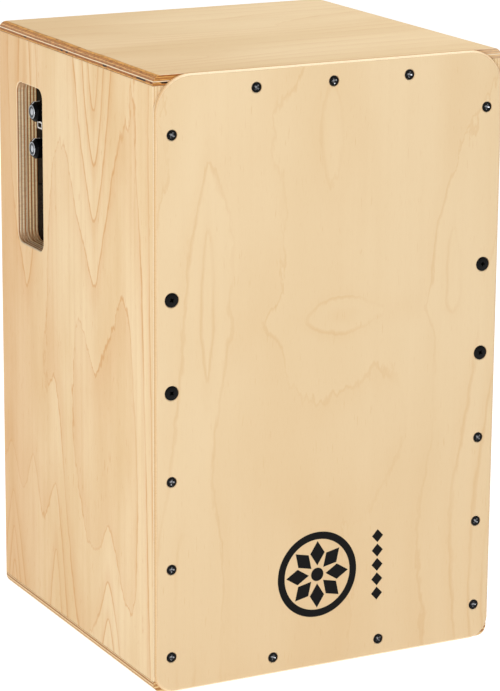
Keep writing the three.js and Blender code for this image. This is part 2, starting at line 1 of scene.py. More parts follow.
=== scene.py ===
"""The looks of a cajon: a birch plywood box drum with a screwed front plate and a recessed preamp.

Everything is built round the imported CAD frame, +Z up, with the front plate on the -Y side. The object is
written in millimetres, which MM turns into metres at the end. The camera and the studio are in metres.
"""

import math
import random

import bmesh
import bpy
from mathutils import Matrix, Quaternion, Vector
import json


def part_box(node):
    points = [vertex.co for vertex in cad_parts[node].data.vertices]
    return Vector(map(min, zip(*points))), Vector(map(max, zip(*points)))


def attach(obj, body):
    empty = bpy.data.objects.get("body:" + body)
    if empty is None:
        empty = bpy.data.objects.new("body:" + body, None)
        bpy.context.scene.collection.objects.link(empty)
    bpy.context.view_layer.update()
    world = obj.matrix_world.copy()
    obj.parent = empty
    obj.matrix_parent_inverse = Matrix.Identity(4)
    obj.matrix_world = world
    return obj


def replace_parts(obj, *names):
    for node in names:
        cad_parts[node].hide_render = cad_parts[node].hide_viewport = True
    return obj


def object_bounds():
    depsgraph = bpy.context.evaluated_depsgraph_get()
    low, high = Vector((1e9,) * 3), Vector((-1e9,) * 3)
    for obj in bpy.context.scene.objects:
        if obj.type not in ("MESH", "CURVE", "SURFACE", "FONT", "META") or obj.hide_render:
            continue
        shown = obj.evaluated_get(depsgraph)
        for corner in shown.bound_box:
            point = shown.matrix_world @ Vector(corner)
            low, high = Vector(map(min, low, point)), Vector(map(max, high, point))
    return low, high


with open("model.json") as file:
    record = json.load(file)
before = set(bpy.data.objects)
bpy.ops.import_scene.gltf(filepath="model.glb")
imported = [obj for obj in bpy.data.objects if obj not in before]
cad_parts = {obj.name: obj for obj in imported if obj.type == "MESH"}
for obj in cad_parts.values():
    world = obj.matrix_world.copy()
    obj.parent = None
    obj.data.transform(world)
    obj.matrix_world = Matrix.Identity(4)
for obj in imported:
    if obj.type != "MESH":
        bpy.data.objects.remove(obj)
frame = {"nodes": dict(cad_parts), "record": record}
CAD_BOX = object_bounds()

MM = 0.001
X, Y, Z = range(3)

NODES = frame["nodes"]
BODIES = frame["record"]["behaviour"]["bodies"]
BODY_OF = {node: body for body, nodes in BODIES.items() for node in nodes}


def box(node):
    """A node's lowest and highest corners, in millimetres."""
    low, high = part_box(node)
    return low / MM, high / MM


LOW, HIGH = (corner / MM for corner in CAD_BOX)
BOX_BOTTOM = box("bottom_panel")[0].z
PLATE_LOW, PLATE_HIGH = box("front_plate")

INK_ROOM = 0.08  # the plate's face lies this far inside the CAD face, so that the print fits in front
PLATE_EDGE_R = 2.9
PLATE_REAR_EDGE = 0.25
PLATE_BOTTOM_CORNER_R = 17
PLATE_TOP_CORNER_R = 30
TOP_EDGE_R = 7.6
BOTTOM_EDGE_R = 8.6
REAR_CORNER_R = 4
RECESS_FRAME_CORNER_R = 8
OPENING_BORDER = 16  # from the recess frame's outside to the opening
OPENING_CORNER_R = 8.5
OPENING_SOFT_R = 1.3  # the sanded edge round the opening
SOUND_HOLE_R = 57
SOUND_HOLE_UP = 200
SOUND_HOLE_SOFT_R = 2
SOUND_HOLE_INNER_SOFT_R = 1
LARGE_HEAD_R = 4.7  # screws with wider heads tension the plate
KNOB_CHAMFER = 2.1
RECESSED = "left_side_panel"
SHARP_ABOVE = math.radians(34)

CAMERA_AZIMUTH, CAMERA_ELEVATION, CAMERA_ROLL = (math.radians(a) for a in (-27.56, 14.88, 0.42))
CAMERA_AIM = Vector((0.0038, -0.0061, 0.2335))
CAMERA_DISTANCE = 2.4734
CAMERA_LENS = 158.4
CAMERA_SENSOR = 36

WORLD_STRENGTH = 0.25
LIGHT_AIM = Vector((0, 0, 0.25))
SOFTBOXES = (
    # name, place, width and height, watts
    ("left_light", (-1.8, -1.8, 0.8), (0.8, 1.1), 23),
    ("top_light", (0.6, -0.2, 2.4), (1.5, 1.5), 37),
    ("right_light", (2.4, 0.4, 1.0), (1.0, 1.0), 9),
    ("rear_light", (-0.9, 2.4, 1.3), (1.0, 1.0), 9),
    ("glint_light", (-1.5, -2.0, 1.1), (0.03, 0.4), 1.2),
)
PAPER_SIZE = 300
PAPER_GREY = 0.3
PAPER_GLOW = 0.94


# ---- camera and light


def new_object(name, data):
    made = bpy.data.objects.new(name, data)
    bpy.context.scene.collection.objects.link(made)
    return made


def add_camera():
    flat = math.cos(CAMERA_ELEVATION)
    aside, ahead = math.sin(CAMERA_AZIMUTH) * flat, math.cos(CAMERA_AZIMUTH) * flat
    back = Vector((aside, -ahead, math.sin(CAMERA_ELEVATION)))
    camera = new_object("camera", bpy.data.cameras.new("camera"))
    camera.data.lens = CAMERA_LENS
    camera.data.sensor_width = CAMERA_SENSOR
    camera.location = CAMERA_AIM + back * CAMERA_DISTANCE
    camera.rotation_mode = "QUATERNION"
    camera.rotation_quaternion = back.to_track_quat("Z", "Y") @ Quaternion((0, 0, 1), CAMERA_ROLL)
    bpy.context.scene.camera = camera


def add_softbox(name, place, size, watts):
    light = bpy.data.lights.new(name, "AREA")
    light.shape = "RECTANGLE"
    light.size, light.size_y = size
    light.energy = watts
    softbox = new_object(name, light)
    softbox.location = place
    softbox.rotation_mode = "QUATERNION"
    softbox.rotation_quaternion = (Vector(place) - LIGHT_AIM).to_track_quat("Z", "Y")


def add_studio():
    """White paper that glows a little, a white world and the softboxes."""
    scene = bpy.context.scene
    scene.view_settings.view_transform = "Standard"
    world = bpy.data.worlds.new("studio")
    scene.world = world
    world.use_nodes = True
    background = world.node_tree.nodes["Background"]
    background.inputs["Color"].default_value = (1, 1, 1, 1)
    background.inputs["Strength"].default_value = WORLD_STRENGTH
    for softbox in SOFTBOXES:
        add_softbox(*softbox)

    bpy.ops.mesh.primitive_plane_add(size=PAPER_SIZE)
    floor = bpy.context.object
    floor.name = "studio_floor"
    graph = Graph("studio_paper")
    graph.set(base=(PAPER_GREY,) * 3, roughness=0.9, specular=0.1)
    graph.shader.inputs["Emission Color"].default_value = (1, 1, 1, 1)
    graph.shader.inputs["Emission Strength"].default_value = PAPER_GLOW
    floor.data.materials.append(graph.material)


# ---- shader helpers


def srgb(*levels):
    """A linear colour from sRGB levels of 0 to 255."""
    linear = []
    for level in levels:
        c = level / 255
        linear.append(c / 12.92 if c <= 0.04045 else ((c + 0.055) / 1.055) ** 2.4)
    return tuple(linear)


def stretched(size, lengths):
    """Noise cells of one size, but for the axes that have a length of their own."""
    cells = [size] * 3
    for axis, length in lengths.items():
        cells[axis] = length
    return tuple(cells)


class Graph:
    """One material's shader nodes. Values may be sockets or plain numbers, vectors and colours."""

    def __init__(self, name, shift=0.0):
        """shift moves all the noise."""
        self.material = bpy.data.materials.new(name)
        self.material.use_nodes = True
        self.tree = self.material.node_tree
        self.shader = self.tree.nodes["Principled BSDF"]
        self.shift = shift
        self.found = {}

    def put(self, socket, value):
        if isinstance(value, bpy.types.NodeSocket):
            self.tree.links.new(value, socket)
        elif isinstance(value, tuple) and len(value) == 3 and len(socket.default_value) == 4:
            socket.default_value = (*value, 1)
        else:
            socket.default_value = value

    def set(self, base, roughness, metallic=0.0, specular=0.5, normal=None):
        self.put(self.shader.inputs["Base Color"], base)
        self.put(self.shader.inputs["Roughness"], roughness)
        self.put(self.shader.inputs["Metallic"], metallic)
        self.put(self.shader.inputs["Specular IOR Level"], specular)
        if normal:
            self.put(self.shader.inputs["Normal"], normal)

    def node(self, kind, inputs, **settings):
        made = self.tree.nodes.new(kind)
        for key, value in settings.items():
            setattr(made, key, value)
        for key, value in inputs.items():
            self.put(made.inputs[key], value)
        return made

    def calc(self, operation, first, second=0.0, clamp=False):
        inputs = {0: first, 1: second}
        return self.node("ShaderNodeMath", inputs, operation=operation, use_clamp=clamp).outputs[0]

    def plus(self, first, second, clamp=False):
        return self.calc("ADD", first, second, clamp)

    def minus(self, first, second, clamp=False):
        return self.calc("SUBTRACT", first, second, clamp)

    def times(self, first, second):
        return self.calc("MULTIPLY", first, second)

    def over(self, first, second, clamp=False):
        return self.calc("DIVIDE", first, second, clamp)

    def total(self, values):
        result = values[0]
        for value in values[1:]:
            result = self.plus(result, value)
        return result

    def place(self):
        """The point's X, Y and Z in millimetres, in the object's own space."""
        if "place" not in self.found:
            where = self.node("ShaderNodeTexCoord", {}).outputs["Object"]
            scaled = self.node("ShaderNodeVectorMath", {0: where, "Scale": 1 / MM}, operation="SCALE")
            self.found["vector"] = scaled.outputs[0]
            self.found["place"] = self.node("ShaderNodeSeparateXYZ", {0: scaled.outputs[0]}).outputs
        return self.found["place"]

    def facing(self):
        """How far the surface faces along X, Y and Z, each from 0 to 1."""
        if "facing" not in self.found:
            normal = self.node("ShaderNodeTexCoord", {}).outputs["Normal"]
            parts = self.node("ShaderNodeSeparateXYZ", {0: normal}).outputs
            self.found["facing"] = [self.calc("ABSOLUTE", part) for part in parts]
        return self.found["facing"]

    def noise(self, cells, detail=2.0, roughness=0.5, distortion=0.0, shift=0.0):
        """Noise whose cells are that many millimetres long along X, Y and Z."""
        self.place()
        inputs = {0: self.found["vector"], 1: tuple(1 / c for c in cells), 2: (self.shift + shift,) * 3}
        scaled = self.node("ShaderNodeVectorMath", inputs, operation="MULTIPLY_ADD")
        inputs = {"Vector": scaled.outputs[0], "Scale": 1.0, "Detail": detail}
        inputs |= {"Roughness": roughness, "Distortion": distortion}
        return self.node("ShaderNodeTexNoise", inputs).outputs["Fac"]

    def steps(self, value, stops):
        """A colour that changes at each stop, from (place, colour) stops."""
        made = self.node("ShaderNodeValToRGB", {0: value})
        band = made.color_ramp
        band.interpolation = "CONSTANT"
        for place, colour in stops[1:-1]:
            band.elements.new(place).color = (*colour, 1)
        for end in (0, -1):
            band.elements[end].position = stops[end][0]
            band.elements[end].color = (*stops[end][1], 1)
        return made.outputs["Color"]

    def between(self, value, low, high, to_low=0.0, to_high=1.0):
        """A smooth step, from to_low where the value is low to to_high where it is high."""
        inputs = {0: value, 1: low, 2: high, 3: to_low, 4: to_high}
        return self.node("ShaderNodeMapRange", inputs, interpolation_type="SMOOTHSTEP").outputs[0]

    def within(self, value, start, end, soft):
        """1 from start to end and 0 elsewhere, with soft steps just inside."""
        rise = self.between(value, start, start + soft)
        return self.times(rise, self.between(value, end - soft, end, 1.0, 0.0))

    def mix(self, share, first, second):
        inputs = {0: share, 6: first, 7: second}
        return self.node("ShaderNodeMix", inputs, data_type="RGBA").outputs[2]

    def tint(self, tone, colour, value, low, high, share=1.0):
        """A tone, moved towards a colour by up to that share as the value goes from low to high."""
        return self.mix(self.between(value, low, high, 0.0, share), tone, colour)

    def bump(self, height, depth, strength):
        inputs = {"Height": height, "Distance": depth * MM, "Strength": strength}
        return self.node("ShaderNodeBump", inputs).outputs[0]


# ---- wood

WORN = srgb(248, 230, 196)
# painted shade: the dark of the open gaps in the plies
VOID_SHADE = srgb(38, 22, 10)
GLUE = 0.2  # how much of each ply's depth is glue


def edge_look(long, end, glue, stain, fresh=None):
    """How a board's edge looks.

    long and end are the colours of plies cut along and across their grain, glue is the colour between
    them, and stain how strongly it spreads. fresh is where along the grain the plies become pale.
    """
    return {"long": srgb(*long), "end": srgb(*end), "glue": srgb(*glue), "stain": stain, "fresh": fresh}


SANDED = edge_look((232, 200, 152), (204, 156, 104), (164, 112, 66), 0.3)
BANDED = edge_look((240, 206, 148), (172, 108, 46), (126, 72, 28), 0.25)
SCORCHED = edge_look((226, 166, 88), (176, 102, 36), (98, 48, 14), 0.6, fresh=120)
STRIPED = edge_look((255, 236, 198), (190, 128, 76), (100, 52, 24), 0.2)
CARVED = edge_look((255, 232, 184), (172, 104, 48), (76, 36, 12), 0.2)
SOFT = edge_look((250, 228, 190), (210, 164, 106), (152, 98, 46), 0.1)


class Wood(Graph):
    """A board's material. Its axes run through the plies, along the outer grain and across it."""

    def __init__(self, name, through, grain, shift):
        super().__init__(name, shift)
        self.through, self.grain, self.across = through, grain, 3 - through - grain

    def grained(self, size, long, **settings):
        """Noise with cells that are long along the grain."""
        return self.noise(stretched(size, {self.grain: long}), **settings)

    def swirl(self, across, along, half_wide, half_long, height):
        """A hill that comes to a point along the grain, and its slopes across and along the grain.

        The numbers are the place of its middle, half its size, and its height.
        """
        blunt = 0.02
        place = self.place()
        u = self.over(self.minus(place[self.across], across), half_wide)
        v = self.over(self.minus(place[self.grain], along), half_long)
        flank = self.calc("SQRT", self.plus(self.times(u, u), blunt))
        fall = self.plus(flank, self.times(v, v))
        hill = self.times(self.calc("EXPONENT", self.times(fall, -1.0)), height)
        lean = self.times(self.over(u, flank), self.times(hill, -1 / half_wide))
        dip = self.times(v, self.times(hill, -2 / half_long))
        return hill, lean, dip

    def growth_lines(self, swirls, slope, wobble, ragged, line_width=1.5):
        """Thin lines where a smooth height, made of long swirls, passes whole numbers.

        slope is its rise for each millimetre across, wobble how far it drifts and ragged how far it jags.
        """
        drift = self.noise(stretched(400, {self.across: 60, self.grain: 190}), detail=1.0)
        jags = self.noise(stretched(400, {self.across: 5, self.grain: 16}), detail=3.0)
        heights = [self.times(self.place()[self.across], slope)]
        heights += [self.times(drift, wobble), self.times(jags, ragged)]
        leans, dips = [slope], [0.004]
        for numbers in swirls:
            hill, lean, dip = self.swirl(*numbers)
            heights.append(hill)
            leans.append(lean)
            dips.append(dip)
        lean, dip = self.total(leans), self.total(dips)
        steep = self.calc("SQRT", self.plus(self.times(lean, lean), self.times(dip, dip)))
        reach = self.calc("MINIMUM", self.calc("MAXIMUM", self.times(steep, line_width), 0.02), 0.3)
        ring = self.calc("FRACT", self.total(heights))
        gap = self.minus(0.5, self.calc("ABSOLUTE", self.minus(ring, 0.5)))
        line = self.between(gap, 0.0, reach, 0.75, 0.0)
        shade = self.times(self.between(ring, 0.4, 0.97), self.between(ring, 0.97, 1.0, 0.25, 0.0))
        return self.plus(line, shade)

    def veneer(self, tones, contrast, faint, painted_shade=None, **lines):
        """The face of a board: a pale tone with soft clouds, fine pores and growth lines.

        tones are of the pale wood, the warm wood and the lines, faint is the share of them that shows
        where they fade, and painted_shade is an axis, where its painted shade starts and ends, and how deep
        it gets.
        """
        pale, warm, line = tones
        clouds = self.grained(60, 230, detail=3.0)
        tone = self.tint(pale, warm, clouds, 0.3, 0.72)
        bands = self.grained(6, 420, shift=3)
        tone = self.tint(tone, warm, bands, 0.4, 0.75, 0.15 + 0.4 * contrast)
        # painted shade: the tone darkens towards the line tone along one axis
        if painted_shade:
            axis, start, end, share = painted_shade
            tone = self.tint(tone, line, self.place()[axis], start, end, share)
        fade = self.grained(45, 110, detail=1.0, shift=7)
        strength = self.between(fade, 0.3, 0.62, faint * contrast, contrast)
        tone = self.mix(self.times(self.growth_lines(**lines), strength), tone, line)
        pores = self.grained(0.55, 9, roughness=0.7)
        tone = self.tint(tone, line, pores, 0.52, 0.78, 0.1 + 0.14 * contrast)
        flecks = self.grained(1.3, 14, detail=1.0, shift=11)
        return self.tint(tone, line, flecks, 0.7, 0.8, 0.6 * contrast)

    def layers(self, depth, plies):
        """For each depth: 1 in plies that run across the outer grain, a share for tint, and 1 in glue."""
        total = sum(plies)
        tints = random.Random(len(self.material.name) + len(plies))
        stops = []
        start = 0.0
        for number, thick in enumerate(plies):
            crossed = number % 2
            stops.append((start / total, (crossed, tints.random(), 0)))
            stops.append(((start + thick - GLUE) / total, (crossed, 0.5, 1)))
            start += thick
        layer = self.steps(self.over(depth, total, clamp=True), stops)
        return self.node("ShaderNodeSeparateColor", {0: layer}).outputs

    def plies(self, layers, edge):
        """What shows of the plies where the board is cut."""
        crossed, tint, glued = layers
        facing = self.facing()
        along_end = self.times(facing[self.grain], self.minus(1.0, crossed))
        cross_end = self.times(facing[self.across], crossed)
        end = self.plus(along_end, cross_end, clamp=True)
        tone = self.mix(self.times(end, self.between(tint, 0.0, 1.0, 0.7, 1.0)), edge["long"], edge["end"])
        tone = self.mix(self.times(glued, 0.75), tone, edge["glue"])
        blotches = self.noise((6, 6, 0.9), detail=3.0, roughness=0.6, shift=5)
        tone = self.tint(tone, edge["glue"], blotches, 0.42, 0.72, edge["stain"])
        streaks = self.noise((1.1, 1.1, 1.1), detail=3.0, roughness=0.65)
        tone = self.tint(tone, edge["end"], streaks, 0.45, 0.8, 0.25)
        fresh = edge["fresh"]
        if fresh is not None:
            tone = self.tint(tone, WORN, self.place()[self.grain], fresh, fresh + 15, 0.4)
        return tone

    def torn(self, tone, depth, on_edge, start, end, corner, fresh):
        """Open gaps between two depths, under a pale line; the dark in the gaps is painted shade.

        They are many before the corner, across the grain, and there are none past fresh, along it.
        """
        place = self.place()
        pale_line = self.within(depth, start - 0.8, start - 0.1, 0.1)
        tone = self.mix(self.times(pale_line, on_edge), tone, WORN)
        holes = self.noise(stretched(9, {self.through: 2.5}), shift=9)
        holes = self.plus(holes, self.between(place[self.across], corner, corner + 15, 0.04, -0.06))
        gap = self.times(self.within(depth, start, end, 0.15), self.between(holes, 0.56, 0.59))
        gap = self.times(gap, self.between(place[self.grain], fresh - 15, fresh, 1.0, 0.0))
        # the gaps take painted shade
        return self.mix(self.times(gap, on_edge), tone, VOID_SHADE)


def plywood(name, axes, shift, face, plies, edge, figure, gaps=None, calm=None):
    """A board's wood, ply by ply, from its outer face inwards.

    axes are the one through the plies and the one of the outer grain. face is where the outer face lies
    and the sign of the way in, and plies are thicknesses. gaps are the depths and the corner of torn,
    and calm is the place across the grain before which an edge shows little of its plies.
    """
    graph = Wood(name, *axes, shift)
    place = graph.place()
    surface, inward = face
    waves = graph.noise((50, 50, 50), detail=1.0)
    depth = graph.times(graph.minus(place[graph.through], surface), inward)
    depth = graph.plus(depth, graph.between(waves, 0.2, 0.8, -0.12, 0.12))
    on_edge = graph.between(graph.minus(1.0, graph.facing()[graph.through], clamp=True), 0.0, 0.3)
    cut = graph.plies(graph.layers(depth, plies), edge)
    if calm is not None:
        cut = graph.mix(graph.between(place[graph.across], calm, calm + 2, 0.75, 0.0), cut, SANDED["long"])
    past_face = graph.between(depth, plies[0] - 0.12, plies[0] + 0.05)
    tone = graph.mix(past_face, graph.veneer(**figure), cut)
    worn = graph.times(on_edge, graph.minus(1.0, past_face))
    tone = graph.mix(graph.times(worn, 0.7), tone, WORN)
    if gaps:
        tone = graph.torn(tone, depth, on_edge, *gaps, edge["fresh"])
    pores = graph.grained(0.35, 7, roughness=0.7)
    shine = graph.between(pores, 0.3, 0.7, 0.42, 0.54)
    graph.set(base=tone, roughness=shine, specular=0.28, normal=graph.bump(pores, 0.05, 0.35))
    return graph.material


SIDE_TONES = (srgb(243, 215, 170), srgb(231, 195, 142), srgb(212, 144, 66))
LEFT_FIGURE = dict(
    tones=SIDE_TONES,
    contrast=0.86,
    faint=0.45,
    # partly the wood's own tone and partly painted shade: darker towards the rear
    painted_shade=(Y, 20, 150, 0.34),
    slope=0.012,
    wobble=1.0,
    ragged=0.18,
    swirls=(
        (-40, 520, 40, 190, 6.5),
        (92, 430, 24, 150, 3.6),
        (84, 100, 14, 60, 1.6),
        (-62, -60, 26, 130, 6.0),
        (38, -40, 30, 190, 4.6),
        (126, -40, 20, 125, 6.0),
        (-154, 300, 34, 460, 6.5),
    ),
)
RIGHT_FIGURE = dict(
    tones=SIDE_TONES,
    contrast=0.8,
    faint=0.4,
    slope=0.012,
    wobble=1.6,
    ragged=0.22,
    swirls=((20, 560, 46, 240, 8.0), (-70, -50, 32, 200, 6.5), (100, -20, 26, 170, 6.0)),
)
REAR_FIGURE = dict(
    tones=SIDE_TONES,
    contrast=0.55,
    faint=0.4,
    slope=0.012,
    wobble=1.8,
    ragged=0.22,
    swirls=((-50, 540, 50, 220, 6.0), (80, -30, 40, 230, 6.5)),
)
PLATE_FIGURE = dict(
    tones=(srgb(235, 209, 168), srgb(231, 203, 160), srgb(212, 164, 102)),
    contrast=0.36,
    faint=0.1,
    # painted shade: the plate darkens towards the bottom
    painted_shade=(Z, 300, 0, 0.16),
    slope=0.006,
    wobble=1.2,
    ragged=0.3,
    line_width=2.6,
    swirls=(
        (-106, 316, 11, 95, 2.2),
        (-2, 445, 20, 60, 1.4),
        (12, 290, 44, 13, 1.5),
        (6, 360, 60, 110, 0.9),
        (36, 190, 40, 46, -1.3),
        (108, 324, 12, 50, 1.5),
        (-125, 40, 30, 220, 2.5),
        (150, 60, 40, 260, 4.0),
    ),
)
TOP_FIGURE = dict(
    tones=(srgb(239, 213, 171), srgb(230, 201, 156), srgb(208, 156, 94)),
    contrast=0.36,
    faint=0.3,
    # partly the wood's own tone and partly painted shade: darker towards the left
    painted_shade=(X, 0, -150, 0.14),
    slope=0.05,
    wobble=1.6,
    ragged=0.16,
    swirls=((20, 0, 26, 130, 2.4), (-90, -160, 24, 150, 2.6)),
)

TOP_PLIES = (0.4, 1.1, 0.9, 1.0, 0.9, 1.1, 1.3, 1.3)
BOTTOM_PLIES = (0.9, 1.9, 1.9, 1.4, 1.7, 1.2, 1.0)
SIDE_PLIES = (0.7, 1.1, 1.5, 1.2, 1.6, 1.3, 0.8)
REAR_PLIES = (0.8, 1.7, 1.7, 0.8)
RECESS_PLIES = (0.6, 1.3, 1.6, 1.2, 1.6, 1.3, 1.4, 0.8)
PLATE_PLIES = (0.32, 1.7, 1.3)


def board_materials():
    """Each board's own wood. Keys are CAD nodes."""
    left, right = (LOW.x, 1), (HIGH.x, -1)
    top, bottom = (HIGH.z, -1), (BOX_BOTTOM, 1)
    front, rear = (PLATE_LOW.y, 1), (box("rear_panel")[1].y, -1)
    recess = (box("recess_frame")[0].x, 1)
    calm = PLATE_HIGH.y + 3
    gaps = (5.4, 6.7, calm + 30)
    made = {
        "top_panel": plywood("birch_top", (Z, X), 2.0, top, TOP_PLIES, SCORCHED, TOP_FIGURE, gaps),
        "bottom_panel": plywood("birch_bottom", (Z, Y), 4.0, bottom, BOTTOM_PLIES, BANDED, REAR_FIGURE),
        "rear_panel": plywood("birch_rear", (Y, Z), 10.0, rear, REAR_PLIES, SANDED, REAR_FIGURE),
        "front_plate": plywood("birch_plate", (Y, Z), 12.0, front, PLATE_PLIES, SOFT, PLATE_FIGURE),
        "recess_frame": plywood("birch_recess", (X, Z), 14.0, recess, RECESS_PLIES, CARVED, RIGHT_FIGURE),
    }
    for side, shift, face, figure in (("left", 6.0, left, LEFT_FIGURE), ("right", 8.0, right, RIGHT_FIGURE)):
        wood = plywood(f"birch_{side}", (X, Z), shift, face, SIDE_PLIES, STRIPED, figure, calm=calm)
        made[f"{side}_side_panel"] = wood
    return made


def batten_wood():
    """Planed spruce: pale, with close straight growth lines along X or Z."""
    graph = Graph("spruce")
    lines = graph.noise((16, 1.6, 16), distortion=0.4)
    fine = graph.noise((0.8, 0.6, 6))
    tone = graph.tint(srgb(228, 200, 152), srgb(198, 158, 104), lines, 0.4, 0.7)
    tone = graph.tint(tone, srgb(176, 132, 84), fine, 0.4, 0.8, 0.3)
    graph.set(base=tone, roughness=0.68, specular=0.25, normal=graph.bump(fine, 0.08, 0.5))
    return graph.material


# ---- metal, plastic and rubber

FINISHES = {
    # key: name, dark, light, size of the mottling, least and most roughness, and metallic and specular
    "screw": ("blackened_steel", (6, 6, 7), (13, 12, 12), 2.0, 0.3, 0.44, 0.0, 0.13),
    "recess": ("worn_steel", (46, 47, 50), (200, 202, 206), 0.6, 0.24, 0.36, 1.0),
    # painted shadow: near black for the shade deep in the large screws' cross recess
    "shadow": ("deep_recess", (2, 2, 2), (6, 6, 6), 1.0, 0.6, 0.8, 0.0, 0.02),
    "rubber": ("foot_rubber", (24, 24, 24), (38, 37, 36), 5.0, 0.7, 0.88),
    "zinc": ("zinc_plate", (150, 150, 148), (200, 199, 194), 3.0, 0.28, 0.42, 1.0),
    "moulding": ("black_moulding", (3, 3, 4), (6, 6, 7), 6.0, 0.26, 0.36, 0.0, 0.08),
    "knob": ("knob_plastic", (3, 3, 4), (6, 6, 7), 4.0, 0.2, 0.3, 0.0, 0.07),
    # painted shade: darker metal for the knob caps' grooves
    "groove": ("cap_groove", (46, 48, 52), (70, 73, 78), 0.9, 0.3, 0.42, 1.0),
    "ceramic": ("pickup_ceramic", (206, 200, 184), (226, 221, 206), 4.0, 0.35, 0.5),
    "chip": ("chip_plastic", (18, 18, 19), (30, 30, 31), 3.0, 0.45, 0.6),
    "sleeve": ("capacitor_sleeve", (28, 44, 78), (38, 58, 96), 3.0, 0.3, 0.42),
    "nickel": ("nickel_plate", (176, 172, 160), (216, 211, 198), 3.0, 0.16, 0.26, 1.0),
    "board": ("solder_mask", (16, 66, 36), (28, 92, 52), 7.0, 0.28, 0.4),
    "battery": ("battery_wrap", (40, 44, 50), (58, 62, 68), 9.0, 0.25, 0.35),
    "snare": ("snare_steel", (150, 152, 156), (206, 208, 210), 4.0, 0.2, 0.32, 1.0),
    "pickup": ("pickup_brass", (178, 134, 66), (214, 172, 96), 5.0, 0.25, 0.4, 1.0),
    "lead": ("lead_jacket", (22, 22, 24), (34, 34, 36), 4.0, 0.45, 0.6),
    "ink": ("black_ink", (9, 8, 8), (15, 14, 13), 3.0, 0.5, 0.62, 0.0, 0.12),
    "print": ("white_print", (236, 238, 240), (250, 251, 252), 3.0, 0.4, 0.5),
}


def mottled(name, dark, light, cell, smooth, rough, metallic=0.0, specular=0.5):
    """A finish that wanders between two colours and two roughnesses, with a fine bump."""
    graph = Graph(name)
    fine = cell / 9
    blotches = graph.noise((cell, cell, cell), detail=3.0, roughness=0.6)
    tone = graph.tint(srgb(*dark), srgb(*light), blotches, 0.3, 0.7)
    shine = graph.between(blotches, 0.25, 0.75, smooth, rough)
    graph.set(tone, shine, metallic, specular, graph.bump(graph.noise((fine, fine, fine)), 0.02, 0.4))
    return graph.material


def spun_metal():
    """Turned aluminium: fine rings round the knob's axis, which is X, and a swirl of bright and dark."""
    graph = Graph("spun_aluminium")
    graph.shader.inputs["Anisotropic"].default_value = 0.8
    around = graph.node("ShaderNodeTangent", {}, direction_type="RADIAL", axis="X")
    graph.put(graph.shader.inputs["Tangent"], around.outputs[0])
    rings = graph.noise((30, 0.25, 0.25))
    tone = graph.tint(srgb(158, 161, 166), srgb(218, 221, 225), rings, 0.3, 0.7)
    graph.set(tone, 0.32, 1.0, 0.5, graph.bump(rings, 0.01, 0.3))
    return graph.material


def make_materials():
    made = board_materials()
    made["batten"] = batten_wood()
    made["cap"] = spun_metal()
    for key, finish in FINISHES.items():
        made[key] = mottled(*finish)
    return made


MATERIALS = make_materials()


# ---- mesh helpers

TINY = 1e-4  # the radius of a sharp corner


def rounded_ring(low, high, radii, steps=10):
    """Points round a rectangle. radii are of the low-left, low-right, high-right and high-left corner."""
    corners = (
        (low[0], low[1], 1, 1, 180),
        (high[0], low[1], -1, 1, 270),
        (high[0], high[1], -1, -1, 0),
        (low[0], high[1], 1, -1, 90),
    )
    points = []
    for (u, v, side_u, side_v, start), radius in zip(corners, radii):
        r = max(radius, TINY)
        for i in range(steps + 1):
            a = math.radians(start + 90 * i / steps)
            points.append((u + side_u * r + r * math.cos(a), v + side_v * r + r * math.sin(a)))
    return points


def square_ring(low, high):
    return rounded_ring(low, high, (0,) * 4, 1)


def circle(centre, radius, count):
    angles = [2 * math.pi * i / count for i in range(count)]
    return [(centre[0] + radius * math.cos(a), centre[1] + radius * math.sin(a)) for a in angles]


def round_over(radius, steps=8):
    """(rise, inset) along a quarter round, from the wall to the face."""
    for i in range(steps + 1):
        a = math.pi / 2 * i / steps
        yield radius * math.sin(a), radius * (1 - math.cos(a))


# How (u, v, depth) is read as a point, with u and v in the plane of the two named axes.
IN_XY, IN_XZ, IN_YZ = "xyz", "xzy", "zxy"


def raised(points, w):
    return [(u, v, w) for u, v in points]


def turned(profile, count, at=(0, 0)):
    """Rings round one axis, from (radius, depth) pairs."""
    return [raised(circle(at, radius, count), depth) for radius, depth in profile]


